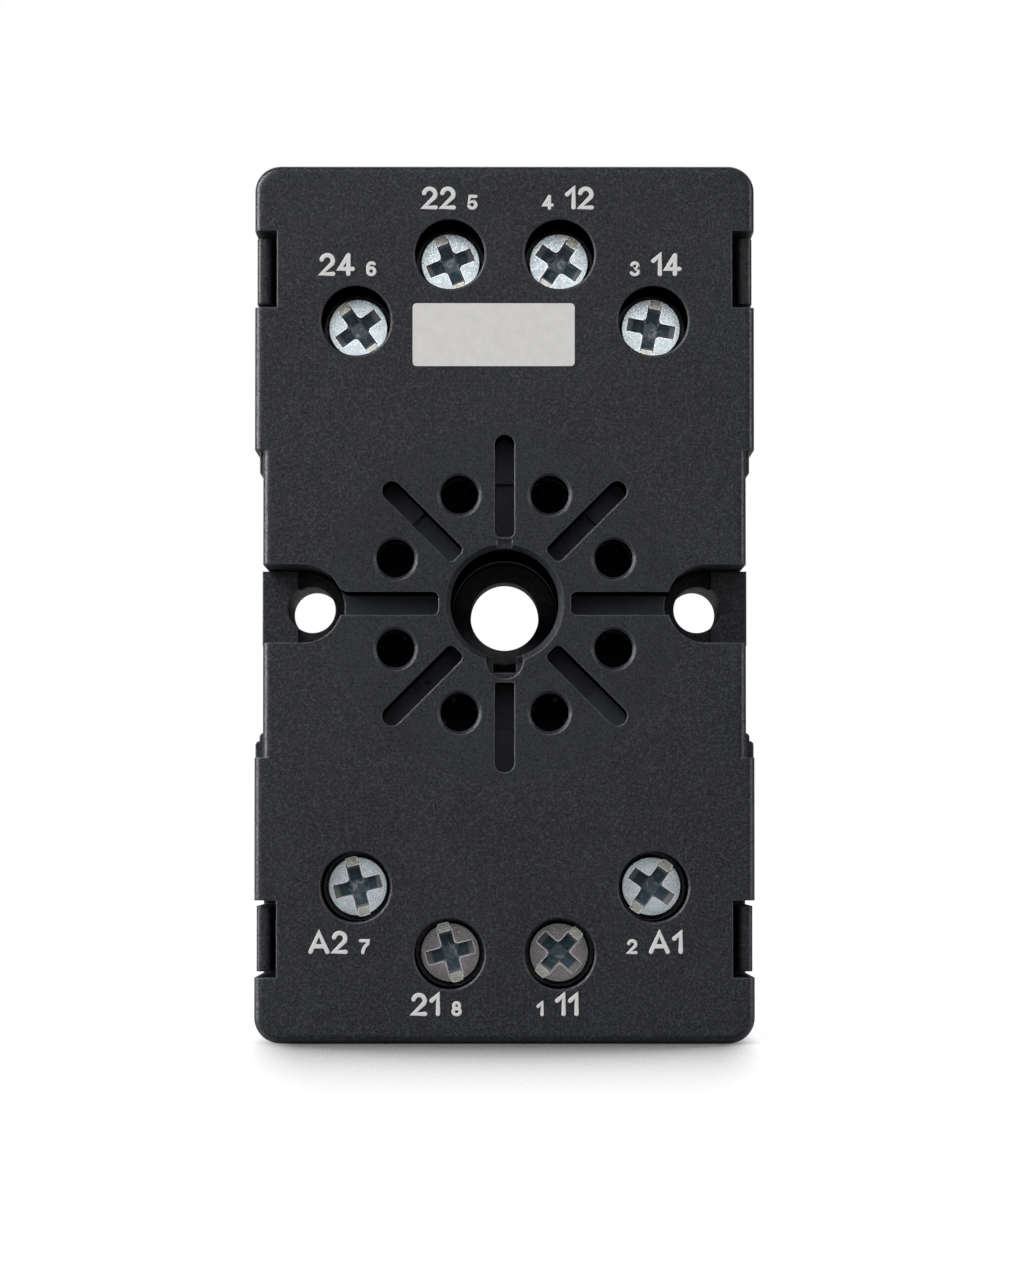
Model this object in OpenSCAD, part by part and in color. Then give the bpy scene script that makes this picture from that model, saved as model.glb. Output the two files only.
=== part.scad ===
// Eight-pin plug-in relay socket for a 35 mm rail or a panel, with screw clamp terminals.
// X runs across the socket, Z up along it and Y from its front to its rear.
// The origin lies on the guide hole's axis, on the plane where the rail seats.
// Inside the modules a point is [x, z] on the plan, with s counted forward from the rail seat.

/* [Housing] */
// Width across the two long sides
body_w = 37; // [36:0.5:46]
// Length from the lower end to the upper end
body_l = 65; // [54:0.5:80]
// Distance from the rail seat to the front face
face_s = 20; // [19.5:0.5:26]
// How far the feet reach behind the rail seat
foot_d = 4.5; // [4.2:0.1:6]
// Radius of the four corners
corner_r = 1.9; // [1:0.1:3]
// Rounding of the front face's outer edge
edge_r = 0.65; // [0.3:0.05:1]
// Thickness of the front wall
face_t = 2.2; // [1.8:0.1:3]
// Thickness of the side walls at the waist
side_t = 1.9; // [1.5:0.1:2.4]
// Thickness of the end walls
end_t = 1.8; // [1.4:0.1:2.4]
// Depth of the cover from the front face to its parting plane
cover_h = 11.1; // [10.5:0.1:11.5]

/* [Waist] */
// Length of the narrowed middle on the front face
waist_l = 22.8; // [18:0.2:26]
// How far each side steps in at the waist
waist_in = 0.62; // [0.4:0.02:1.2]
// Depth of the front face's own waist, before the shoulders behind it
shoulder_d = 1.2; // [1:0.1:5]
// How far a shoulder reaches towards the middle
shoulder_l = 1.85; // [1.5:0.05:3]
// How far a shoulder steps in from the side
shoulder_in = 0.33; // [0.2:0.01:0.38]
// Length of the lower shoulders' second step, which is nearly full width
shoulder_low_l = 1.25; // [0.8:0.05:1.4]

/* [Relay seat] */
// Pitch circle of the eight pins
pin_circle_d = 17.45; // [17:0.05:18]
// Diameter of a pin hole
pin_hole_d = 2.8; // [2.6:0.05:3]
// Chamfer round a pin hole
pin_rim = 0.24; // [0.1:0.02:0.3]
// Diameter of the guide hole
guide_d = 8; // [7.6:0.05:8.4]
// Chamfer round the guide hole
guide_rim = 0.4; // [0.2:0.05:0.5]
// Depth of the guide hole
guide_depth = 13.3; // [12.5:0.1:14]
// Wall round the guide hole
guide_t = 1.2; // [1:0.1:1.6]
// Width of the key notch
key_w = 1.7; // [1.4:0.1:2]
// Depth of the key notch beside the guide hole
key_d = 1.1; // [1:0.05:1.3]
// Radius of the round lead-in about the key notch
key_lead_r = 1.4; // [1.3:0.05:1.6]
// Diameter of the small hole that goes right through
through_d = 5.35; // [4:0.05:6]
// Depth of the funnel between the guide hole and the small hole
funnel_d = 2.7; // [0.6:0.1:3]
// Length of the relay's pins below the face
pin_l = 11.5; // [11:0.1:12]

/* [Barrier slots] */
// Width of the upright and slanting slots
slot_w = 1.45; // [1.2:0.05:1.6]
// Width of the two level slots that open into the ears
level_slot_w = 1.7; // [1.4:0.05:1.9]
// Land left between the guide hole and a slot
slot_land = 0.9; // [0.6:0.05:1.2]
// Land left between the key notch's lead-in and the lower slot
key_land = 0.27; // [0.2:0.01:0.5]
// Distance from the axis to a slot's outer end
slot_out = 12.5; // [11:0.1:13]
// Depth of the slots
slot_depth = 4.5; // [3:0.1:6]
// Height of the step in the floor of the upright slots
slot_step = 0.5; // [0.2:0.1:1]
// Distance from the axis to that step
slot_step_r = 9.2; // [8:0.1:10.5]
// Wall round a slot behind the face
slot_t = 0.75; // [0.6:0.05:0.9]

/* [Terminals] */
// Width of a terminal's pocket
pocket_w = 5.9; // [5.6:0.1:6.1]
// Wall between the two inner pockets
mid_wall = 2.24; // [1.6:0.02:3]
// Wall between an inner pocket and its outer neighbour
pocket_wall = 1.03; // [0.8:0.01:1.6]
// Distance from the end face to the inner screws
inner_edge = 6.6; // [6.4:0.1:8]
// Distance from the end face to the outer screws
outer_edge = 11.54; // [11:0.1:13]
// Gap round a screw's head in its screwdriver hole
access_gap = 0.3; // [0.2:0.01:0.6]
// Free height above an open clamp plate
clamp_room = 1.2; // [0.6:0.1:1.8]
// Distance from a screw's axis to the back of its pocket
pocket_back = 3.2; // [3:0.1:4]
// Thickness of the ribs round the pockets
rib_t = 1.15; // [1:0.05:1.4]
// How far a wire entry is narrower than its pocket on each side
entry_in = 0.45; // [0.2:0.05:0.8]
// Height of a wire entry above the parting plane
entry_h = 5.7; // [5:0.1:6]

/* [Screws and clamp plates] */
// Diameter of a screw's head
head_d = 4.55; // [4:0.05:4.8]
// Height of a screw's head
head_h = 2; // [1.6:0.1:2.4]
// Depth of an open screw's head below the front face
head_below = 4.2; // [3.6:0.1:5]
// Diameter of a screw's thread
thread_d = 3; // [2.6:0.1:3]
// Width of the slot across a screw's head
drive_w = 0.87; // [0.6:0.01:1.1]
// Width of the cross recess's wings
cross_w = 1; // [0.8:0.05:1.1]
// Depth of the slot across a screw's head
drive_slot_d = 0.55; // [0.4:0.05:0.8]
// Depth of the cross recess at the ends of its wings
cross_wing_d = 0.95; // [0.8:0.05:1.1]
// Depth of the cross recess in the middle
cross_d = 1.35; // [1.2:0.05:1.6]
// Span of the cross recess at the head's top
cross_span = 3.6; // [3:0.1:3.8]
// Rounding of the four corners between the wings of the cross
cross_fillet_r = 0.3; // [0.1:0.05:0.4]
// Gap left between a clamp plate and its contact when it is driven home
clamp_rest = 0.3; // [0.2:0.1:1]
// Thickness of a clamp plate
clamp_t = 0.8; // [0.6:0.1:1]
// Thickness of a clamp plate's lips
lip_t = 0.5; // [0.4:0.05:0.6]
// Gap between a clamp plate and the back of its pocket
clamp_gap = 0.4; // [0.2:0.1:0.8]

/* [Contacts] */
// Thickness of the contact strip
strip_t = 0.8; // [0.6:0.05:1]
// Width of the contact strip
strip_w = 2.6; // [2:0.1:3]
// Inner diameter of the sleeve that grips a relay pin
sleeve_bore_d = 2.4; // [2.3:0.05:2.5]
// Wall of that sleeve
sleeve_wall = 0.45; // [0.35:0.05:0.5]
// Depth of the sleeves' mouths below the front face
sleeve_below = 4; // [2.7:0.1:5]
// Width of the slits between the sleeve's fingers
slit_w = 0.35; // [0.2:0.05:0.5]
// Depth of the threaded collar behind a terminal
collar_h = 1.5; // [1:0.1:1.6]
// Wall of the threaded collar
collar_wall = 0.7; // [0.5:0.05:0.8]

/* [Mounting ears] */
// Distance from the side face to an ear hole's axis
ear_hole_edge = 3.9; // [3.5:0.05:4.2]
// Diameter of an ear hole
ear_hole_d = 3.5; // [3:0.1:3.8]
// Width of an ear recess
ear_w = 5.8; // [5.4:0.1:6.4]
// How far the centre of the recess's round end lies outside the hole's axis
ear_end_out = 0.3; // [0:0.05:0.6]
// Depth of the shelf at the side of an ear recess
ear_shelf_d = 6; // [5:0.1:6.5]
// Depth of an ear recess's floor at the hole
ear_floor_d = 7.8; // [7:0.1:8.2]
// How far the shelf reaches in from the side of the waist
ear_shelf_l = 2.3; // [2:0.05:3]
// How far the shelf stands out from the side of the waist
ear_out = 0.4; // [0.1:0.05:0.5]
// Length of an ear hole's wall
ear_hole_l = 7; // [4:0.1:7.2]
// Wall round an ear recess
ear_t = 1.1; // [0.9:0.1:1.3]
// Radius of the blend between the left ear recess and its level slot
ear_blend_r = 0.9; // [0.5:0.1:3]

/* [Snap arms] */
// Distance from the end face to the middle of an arm
arm_edge = 7.7; // [7:0.1:10]
// Width of an arm
arm_w = 4.85; // [4:0.05:5.5]
// Thickness of an arm
arm_t = 1.1; // [0.9:0.05:1.2]
// Depth of an arm's tip below the face
arm_below = 1.2; // [0.8:0.1:2]
// Gap beside and behind an arm in its notch
notch_gap = 0.425; // [0.2:0.025:0.7]
// How far an arm's barb reaches behind the ledge
barb = 0.3; // [0.2:0.05:0.35]
// Depth of the ledge below the face
ledge_below = 4.6; // [4:0.1:6]

/* [Rail catch] */
// Width of the rail across its flanges
rail_w = 35; // [35:0.1:35.2]
// Thickness of the rail's flange
rail_t = 1; // [1:0.1:1.5]
// How far the fixed hook reaches over the flange
hook_l = 1.4; // [1:0.1:2]
// How far the catch's nose reaches over the flange
nose_l = 1.3; // [1:0.1:1.6]
// How far the catch slides to free the rail
catch_travel = 2; // [1.6:0.1:2.4]
// Width of the sliding catch between its guides
catch_w = 10; // [8:0.2:11]
// Reach of each of the catch's guide wings
wing_l = 1; // [0.8:0.1:1.4]
// Thickness of the guide wings
wing_t = 1.1; // [0.9:0.1:1.4]
// Outer diameter of the catch's spring
spring_d = 3.2; // [2.8:0.1:3.4]
// Diameter of the spring's wire
wire_d = 0.45; // [0.3:0.05:0.6]
// Number of turns in the spring
spring_turns = 7; // [5:1:9]

/* [Rear pockets] */
// Thickness of the floor left in front of the pockets in the middle
floor_t = 2; // [1.6:0.1:2.4]
// Height of the pockets in the two end blocks above the rail seat
end_pocket_s = 2.9; // [2:0.1:3]
// Thickness of the ribs between the pockets
core_rib = 1.2; // [1:0.1:1.6]
// Half the length of the pockets' field in the middle
core_z = 11.2; // [10:0.1:12]

/* [Hidden] */
$fn = 64;

fit = 0.1;            // clearance between parts that stay put
slide_fit = 0.15;     // clearance of what slides
over = 1;             // how far a cut runs past what it opens
chamfer = 0.12;       // small lead-in of the screwdriver holes
half_w = body_w / 2;
half_l = body_l / 2;
waist_w = body_w - 2 * waist_in;
waist_z = waist_l / 2;
part_s = face_s - cover_h;        // parting plane between the cover and the base

key_reach = guide_d / 2 + key_d;
key_lead_z = -guide_d / 2 - 0.2;  // centre of the lead-in about the key notch
slot_in = guide_d / 2 + slot_land;
low_slot_in = -key_lead_z + key_lead_r + key_land;
slot_corner_r = 0.45;             // corners of a slot's inner end
low_slot_corner_r = 0.2;
pit_r = 8.13;                     // gate mark in the floor of one slanting slot
pit_d = 0.4;

ear_x = half_w - ear_hole_edge;
ear_end_r = ear_w / 2;
ear_end_x = ear_x + ear_end_out;
ear_relief_d = ear_hole_d + 2.1;  // the wider hole behind an ear's own hole

inner_x = (mid_wall + pocket_w) / 2;
outer_x = inner_x + pocket_wall + pocket_w;
entry_w = pocket_w - 2 * entry_in;
access_d = head_d + 2 * access_gap;
head_top_s = face_s - head_below;
clamp_top_s = head_top_s - head_h;
roof_s = clamp_top_s + clamp_room;
strip_top_s = part_s + strip_t;
clamp_w = pocket_w - 2 * slide_fit;
clamp_l = 2 * (pocket_back - clamp_gap);
clamp_travel = clamp_top_s - clamp_t - strip_top_s - clamp_rest;
lip_h = strip_t;                  // the lips straddle the contact strip
thread_fit = 0.05;                // between the thread and what it runs in, on the radius
collar_d = thread_d + 2 * collar_wall;
shank_l = clamp_top_s - part_s + collar_h - fit;
relief_s = clamp_top_s - shank_l - clamp_travel - slide_fit;
sleeve_d = sleeve_bore_d + 2 * sleeve_wall;
sleeve_fit = 0.2;                 // between a sleeve and its tower, on the radius
tower_t = 0.8;                    // wall of a pin tower

notch_w = arm_w + 2 * notch_gap;
notch_in = arm_t + barb + fit + slide_fit;

rail_fit = 0.2;                   // play of the rail in its groove
hook_s = -rail_t - rail_fit;      // plane of the hook and nose that face the flange
seat_z = rail_w / 2 + rail_fit;   // half the height of the rail's groove
seat_relief = 0.2;                // depth of the groove's relief beside the seat
hook_lead = 1;                    // lead-in ahead of the fixed hook
catch_s0 = -foot_d + 0.2;         // rear face of the catch
catch_s1 = hook_s + fit;          // front face of the catch
catch_low_z = -half_l + 0.3;
nose_z = -rail_w / 2 + nose_l;
nose_root_z = -seat_z - 0.4;      // where the nose leaves the catch
wing_s0 = catch_s1 - wing_t;
wing_stop_z = -seat_z - 1.2;      // where the guide wings meet their stop
lug_z = wing_stop_z - 1;          // underside of the lug that bears on the spring
lug_t = 0.8;
spring_gap = 0.3;                 // gap between the spring and its chamber
spring_s = catch_s1 + 0.5 + spring_d / 2;
spring_low_z = -half_l + 2.3;

PINS = [1:8];
// slot angle of each screw's head as it stands, anticlockwise from upright
SCREW_TURN = [-42, -35, -11, -34, 22, 36, 14, 15];

function is_outer(k) = k == 2 || k == 3 || k == 6 || k == 7;
function side_of(k) = k <= 4 ? 1 : -1;
function end_of(k) = k >= 3 && k <= 6 ? 1 : -1;
function term_x(k) = side_of(k) * (is_outer(k) ? outer_x : inner_x);
function term_z(k) = end_of(k) * (half_l - (is_outer(k) ? outer_edge : inner_edge));
function pin_angle(k) = -90 + 45 * (k - 0.5);
function pin_at(k) = pin_circle_d / 2 * [cos(pin_angle(k)), sin(pin_angle(k))];

// Turns the plan upright: plan Y becomes Z, and s becomes -Y.
module upright() {
    rotate([90, 0, 0]) children();
}

module slab(s0, s1) {
    translate([0, 0, s0]) linear_extrude(s1 - s0) children();
}

// Extrudes a profile drawn in [x, s] along the plan's Y.
module along_z(z0, z1) {
    translate([0, z1, 0]) rotate([90, 0, 0]) linear_extrude(z1 - z0) children();
}

// Extrudes a profile drawn in [z, s] along X.
module along_x(x0, x1) {
    translate([x0, 0, 0]) rotate([90, 0, 90]) linear_extrude(x1 - x0) children();
}

module rect(x0, x1, y0, y1) {
    translate([x0, y0]) square([x1 - x0, y1 - y0]);
}

module rounded_rect(w, l, r) {
    rect(-w / 2 + r, w / 2 - r, -l / 2, l / 2);
    rect(-w / 2, w / 2, -l / 2 + r, l / 2 - r);
    for (x = [-1, 1], y = [-1, 1]) translate([x * (w / 2 - r), y * (l / 2 - r)]) circle(r);
}

// ---- plan outlines ----

// Full width beyond the waist, with the corner radius.
module ends_plan() {
    difference() {
        rounded_rect(body_w, body_l, corner_r);
        rect(-body_w, body_w, -waist_z, waist_z);
    }
}

// One step in to the waist above, and two below.
module shoulders_plan() {
    step_plan(half_w - shoulder_in, waist_z - shoulder_l);
    mirror([0, 1]) {
        step_plan(half_w - shoulder_in, waist_z - shoulder_l);
        step_plan(half_w - fit / 4, waist_z - shoulder_low_l);
    }
}

// A step of half width w that reaches down to low, with its two lower corners rounded.
module step_plan(w, low) {
    r = 0.3;
    rect(-w, w, low + r, waist_z + over);
    rect(-w + r, w - r, low, waist_z + over);
    for (x = [-w + r, w - r]) translate([x, low + r]) circle(r);
}

module waist_plan() {
    rect(-waist_w / 2, waist_w / 2, -waist_z - over, waist_z + over);
}

// The U of an ear recess, from the side to its round inner end.
module ear_plan(side, grow) {
    translate([side * ear_end_x, 0]) circle(ear_end_r + grow);
    rect(min(side * ear_end_x, side * body_w), max(side * ear_end_x, side * body_w),
        -ear_end_r - grow, ear_end_r + grow);
}

// A slot along X from r0 to r1, with a round outer end and two rounded corners at its inner end.
module slot_plan(r0, r1, w, corner) {
    rect(r0 + corner, r1 - w / 2, -w / 2, w / 2);
    rect(r0, r1 - w / 2, -w / 2 + corner, w / 2 - corner);
    for (side = [-1, 1]) translate([r0 + corner, side * (w / 2 - corner)]) circle(corner);
    translate([r1 - w / 2, 0]) circle(w / 2);
}

module pocket_plan(k, grow) {
    back = abs(term_z(k)) - pocket_back - grow;
    w = pocket_w / 2 + grow;
    mirror([0, end_of(k) < 0 ? 1 : 0]) rect(term_x(k) - w, term_x(k) + w, back, half_l - end_t);
}

// A contact seen from the front: terminal plate, strip and ring round the pin.
module contact_plan(k, grow) {
    p = pin_at(k);
    t = [term_x(k), term_z(k)];
    plate_w = clamp_w - 2 * lip_t - 2 * fit;
    run = norm(t - p);
    translate(p) circle(sleeve_d / 2 + grow);
    translate(t) square([plate_w + 2 * grow, 2 * pocket_back - 4 * fit + 2 * grow], center = true);
    translate(p) rotate(atan2(t[1] - p[1], t[0] - p[0])) rect(0, run, -strip_w / 2 - grow, strip_w / 2 + grow);
}

// ---- front cover ----

// A block with upright corners of radius r, whose front edge is rounded all the way round.
module rounded_block(w, l, r) {
    along_z(-l / 2 + r, l / 2 - r) edge_profile(w / 2, -w / 2);
    along_x(-w / 2 + r, w / 2 - r) edge_profile(l / 2, -l / 2);
    for (x = [-1, 1], z = [-1, 1]) translate([x * (w / 2 - r), z * (l / 2 - r), 0])
        rotate_extrude() edge_profile(r, 0);
}

// Section of the cover between two sides, with its front edge rounded on the far side and,
// where the section is open to that side, on the near side too.
module edge_profile(far, near) {
    edge_s = face_s - edge_r;
    inset = near < 0 ? edge_r : 0;
    rect(near, far, part_s, edge_s);
    rect(near + inset, far - edge_r, part_s, face_s);
    translate([far - edge_r, edge_s]) circle(edge_r);
    if (near < 0) translate([near + edge_r, edge_s]) circle(edge_r);
}

module cover_outside() {
    difference() {
        rounded_block(body_w, body_l, corner_r);
        slab(part_s - over, face_s + over) rect(-body_w, body_w, -waist_z, waist_z);
    }
    along_z(-waist_z - over, waist_z + over) edge_profile(waist_w / 2, -waist_w / 2);
    slab(part_s, face_s - shoulder_d) shoulders_plan();
}

module cover_walls() {
    difference() {
        cover_outside();
        slab(part_s - over, face_s - face_t)
            rect(-waist_w / 2 + side_t, waist_w / 2 - side_t, -half_l + end_t, half_l - end_t);
    }
    inner_s = face_s - face_t / 2;
    for (k = PINS) slab(part_s, inner_s) pocket_plan(k, rib_t);
    for (side = [-1, 1]) slab(part_s, inner_s) intersection() {
        ear_plan(side, ear_t);
        waist_plan();
    }
    for (k = PINS) translate(pin_at(k)) slab(strip_top_s + 2 * fit, inner_s)
        circle(sleeve_d / 2 + sleeve_fit + tower_t);
    slab(face_s - slot_depth - slot_t, inner_s) for (a = [0:45:315]) rotate(a)
        rect(guide_d / 2, slot_out + slot_t, -slot_w / 2 - slot_t, slot_w / 2 + slot_t);
    slab(face_s - guide_depth + fit, inner_s) {
        circle(guide_d / 2 + guide_t);
        rect(-key_w / 2 - guide_t, key_w / 2 + guide_t, -key_reach - slot_t, 0);
    }
}

module guide_hole() {
    low = face_s - guide_depth - over;
    slab(low, face_s + over) circle(guide_d / 2);
    translate([0, 0, face_s - guide_rim])
        cylinder(guide_rim + over, guide_d / 2, guide_d / 2 + guide_rim + over);
    slab(low, face_s + over) rect(-key_w / 2, key_w / 2, -key_reach, 0);
    // round lead-in about the key notch
    lead_d = 0.8;
    slab(face_s - lead_d, face_s + over) translate([0, key_lead_z]) circle(key_lead_r);
    // small flat at twelve o'clock
    flat_w = 1.1;
    flat_d = 0.25;
    slab(face_s - flat_d, face_s + over)
        rect(-flat_w / 2, flat_w / 2, 0, guide_d / 2 + guide_rim + 0.35);
}

// Slots between the pins, which lengthen the creepage path along the face.
module barrier_slots() {
    slab(face_s - slot_depth + slot_step, face_s + over) slots_plan();
    slab(face_s - slot_depth, face_s) intersection() {
        slots_plan();
        circle(slot_step_r);
    }
    slab(face_s - slot_depth, face_s + over) {
        level_slots_plan();
        ear_blend();
    }
    rotate(225) translate([pit_r, 0, face_s - slot_depth - slot_t / 2]) cylinder(slot_t, d = pit_d);
}

module slots_plan() {
    for (a = [45, 90, 135, 225, 315]) rotate(a) slot_plan(slot_in, slot_out, slot_w, slot_corner_r);
    rotate(270) slot_plan(low_slot_in, slot_out, slot_w, low_slot_corner_r);
}

// The two level slots open into the ear recesses.
module level_slots_plan() {
    reach = ear_end_x - ear_end_r + level_slot_w;
    for (a = [0, 180]) rotate(a) slot_plan(slot_in, reach, level_slot_w, slot_corner_r);
}

// The left ear recess runs into its level slot through a hollow curve along the upper edge.
module ear_blend() {
    low = level_slot_w / 2;
    gap = ear_end_r + ear_blend_r;
    // centre of the curve, which touches the slot's edge and the recess's round end
    cx = -ear_end_x + sqrt(gap * gap - pow(low + ear_blend_r, 2));
    difference() {
        polygon([[-ear_end_x, 0], [cx, 0], [cx, low], [-ear_end_x, ear_end_r]]);
        translate([cx, low + ear_blend_r]) circle(ear_blend_r);
    }
}

module terminal_openings() {
    for (k = PINS) {
        slab(part_s - over, roof_s) pocket_plan(k, 0);
        translate([term_x(k), term_z(k), 0]) {
            cylinder(face_s + over, d = access_d);
            translate([0, 0, face_s - chamfer])
                cylinder(chamfer + over, access_d / 2, access_d / 2 + chamfer + over);
        }
        mirror([0, end_of(k) < 0 ? 1 : 0, 0]) along_z(half_l - end_t - over, half_l + over)
            translate([term_x(k), part_s]) entry_profile();
    }
}

// A wire entry is open to the base below and round at its upper corners.
module entry_profile() {
    r = 0.8;
    rect(-entry_w / 2, entry_w / 2, -over, entry_h - r);
    rect(-entry_w / 2 + r, entry_w / 2 - r, -over, entry_h);
    for (side = [-1, 1]) translate([side * (entry_w / 2 - r), entry_h - r]) circle(r);
}

module pin_openings() {
    for (k = PINS) translate(pin_at(k)) {
        translate([0, 0, part_s - over]) cylinder(cover_h - face_t + over, r = sleeve_d / 2 + sleeve_fit);
        translate([0, 0, part_s]) cylinder(cover_h + over, d = pin_hole_d);
        translate([0, 0, face_s - pin_rim])
            cylinder(pin_rim + over, pin_hole_d / 2, pin_hole_d / 2 + pin_rim + over);
    }
    for (k = PINS) slab(part_s - over, strip_top_s + 2 * fit) contact_plan(k, 2 * fit);
}

// Notches in the long sides for the base's arms, deeper above the ledge that the barbs hold.
module arm_notches() {
    for (side = [-1, 1], end = [-1, 1]) mirror([side < 0 ? 1 : 0, 0, 0])
        translate([0, end * (half_l - arm_edge), 0]) {
            slab(face_s - ledge_below, face_s + over)
                rect(half_w - notch_in, half_w + over, -notch_w / 2, notch_w / 2);
            slab(part_s - over, face_s + over)
                rect(half_w - arm_t - 2 * fit - slide_fit, half_w + over, -notch_w / 2, notch_w / 2);
        }
}

module front_cover() {
    color([0.13, 0.13, 0.14]) upright() difference() {
        cover_walls();
        guide_hole();
        barrier_slots();
        terminal_openings();
        pin_openings();
        arm_notches();
        for (side = [-1, 1]) slab(part_s - over, face_s + over) ear_plan(side, 0);
    }
}

// ---- rear base ----

module base_plan() {
    ends_plan();
    shoulders_plan();
    waist_plan();
    // the ribs that carry the shelves of the ears
    rect(-waist_w / 2 - ear_out, waist_w / 2 + ear_out, -ear_end_r + fit, ear_end_r - fit);
}

// The groove across the rear for the rail, with a fixed hook along its upper edge.
module rail_groove() {
    seat_edge = rail_w / 2 - max(hook_l, nose_l) - fit;
    hook_z = rail_w / 2 - hook_l;
    lead_s = -foot_d + hook_lead;
    along_x(-body_w, body_w) {
        rect(-seat_z, seat_z, hook_s, 0);
        // relief beside the seat, behind the hook and the nose
        for (side = [0, 1]) mirror([side, 0]) rect(seat_edge, seat_z, hook_s, seat_relief);
        polygon([[-seat_z, hook_s + fit], [hook_z, hook_s + fit], [hook_z, lead_s],
            [hook_z + 0.6, -foot_d - over], [-seat_z - 0.6, -foot_d - over], [-seat_z, lead_s]]);
    }
}

// Towers that fill the ear recesses up to their floors, with a higher shelf at the side.
module ear_towers() {
    for (side = [0, 1]) mirror([side, 0, 0]) {
        slab(part_s - over, face_s - ear_floor_d) intersection() {
            ear_plan(1, -fit);
            waist_plan();
        }
        slab(part_s - over, face_s - ear_shelf_d) intersection() {
            ear_plan(1, -fit);
            rect(waist_w / 2 - ear_shelf_l, waist_w / 2 + ear_out, -ear_w, ear_w);
        }
    }
}

module snap_arms() {
    for (side = [-1, 1], end = [-1, 1]) mirror([side < 0 ? 1 : 0, 0, 0])
        along_z(end * (half_l - arm_edge) - arm_w / 2, end * (half_l - arm_edge) + arm_w / 2) arm_profile();
}

// An arm with a rounded tip and a barb on its inner side.
module arm_profile() {
    x1 = half_w - fit;
    x0 = x1 - arm_t;
    top = face_s - arm_below;
    r = 0.45;
    ledge = face_s - ledge_below + fit / 2;
    barb_top = top - r - 0.3;
    barb_land = 0.5;
    rect(x0, x1, part_s - over, top - r);
    rect(x0 + r, x1 - r, part_s - over, top);
    for (x = [x0 + r, x1 - r]) translate([x, top - r]) circle(r);
    polygon([[x0 + r, ledge], [x0 - barb, ledge], [x0 - barb, ledge + barb_land],
        [x0, barb_top], [x0 + r, barb_top]]);
}

// Pockets in the rear that keep the walls even: eight in the middle, three in the upper block
// and two in the lower.
module rear_pockets() {
    side_x = waist_w / 2 - side_t;
    slab(-over, part_s - floor_t) difference() {
        for (mx = [0, 1], mz = [0, 1]) mirror([mx, 0]) mirror([0, mz]) quarter_pockets(side_x);
        circle(guide_d / 2 + 2 * guide_t + fit);
        for (side = [-1, 1]) translate([side * ear_x, 0]) circle(ear_relief_d / 2 + core_rib);
    }
    block_z = seat_z + core_rib + 0.7;
    end_z = half_l - end_t;
    edge_x = catch_w / 2 + wing_l + slide_fit + core_rib;
    slab(-foot_d - over, end_pocket_s) {
        for (mx = [0, 1], mz = [0, 1]) mirror([mx, 0]) mirror([0, mz]) rect(edge_x, side_x, block_z, end_z);
        rect(-edge_x + core_rib, edge_x - core_rib, block_z, end_z);
    }
}

// Two pockets of one quarter of the middle, on both sides of an upright rib.
module quarter_pockets(side_x) {
    rib_x = side_x / 2;
    rect(core_rib / 2, rib_x - core_rib / 2, core_rib / 2, core_z);
    rect(rib_x + core_rib / 2, side_x, core_rib / 2, core_z);
}

// Guides of the sliding catch and the chamber of its spring, open at the lower end.
module catch_way() {
    w = catch_w / 2 + slide_fit;
    slab(-foot_d - over, hook_s + 2 * fit) rect(-w, w, -half_l - over, -seat_z + over);
    slab(wing_s0 - slide_fit, hook_s + 2 * fit)
        rect(-w - wing_l, w + wing_l, -half_l - over, wing_stop_z + slide_fit);
    chamber_x = spring_d / 2 + spring_gap;
    slab(-foot_d, spring_s + chamber_x) rect(-chamber_x, chamber_x, spring_low_z, lug_z + lug_t + slide_fit);
}

module base_front_holes() {
    for (k = PINS) {
        translate([term_x(k), term_z(k), relief_s]) cylinder(part_s, d = thread_d + 0.6);
        translate([term_x(k), term_z(k), part_s - collar_h - 2 * fit]) cylinder(part_s, d = collar_d + 3 * fit);
        translate(pin_at(k)) translate([0, 0, face_s - pin_l - 2 * fit]) cylinder(part_s, d = pin_hole_d);
    }
}

// The guide hole ends in a funnel that leads into the small through hole.
module base_centre_hole() {
    seat = face_s - guide_depth;
    slab(-foot_d - over, seat) circle(through_d / 2);
    translate([0, 0, seat - funnel_d]) cylinder(funnel_d, through_d / 2, guide_d / 2 - fit);
    slab(seat, part_s + over) {
        circle(guide_d / 2 + guide_t + fit);
        rect(-key_w / 2 - guide_t - fit, key_w / 2 + guide_t + fit, -key_reach - slot_t - fit, 0);
    }
}

module rear_base() {
    color([0.12, 0.12, 0.13]) upright() difference() {
        union() {
            slab(-foot_d, part_s) base_plan();
            ear_towers();
            snap_arms();
        }
        rail_groove();
        rear_pockets();
        catch_way();
        base_front_holes();
        base_centre_hole();
        for (side = [-1, 1]) translate([side * ear_x, 0, 0]) {
            translate([0, 0, -over]) cylinder(face_s, d = ear_hole_d);
            translate([0, 0, -over]) cylinder(face_s - ear_floor_d - ear_hole_l + over, d = ear_relief_d);
        }
    }
}

// ---- rail catch and its spring ----

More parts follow.
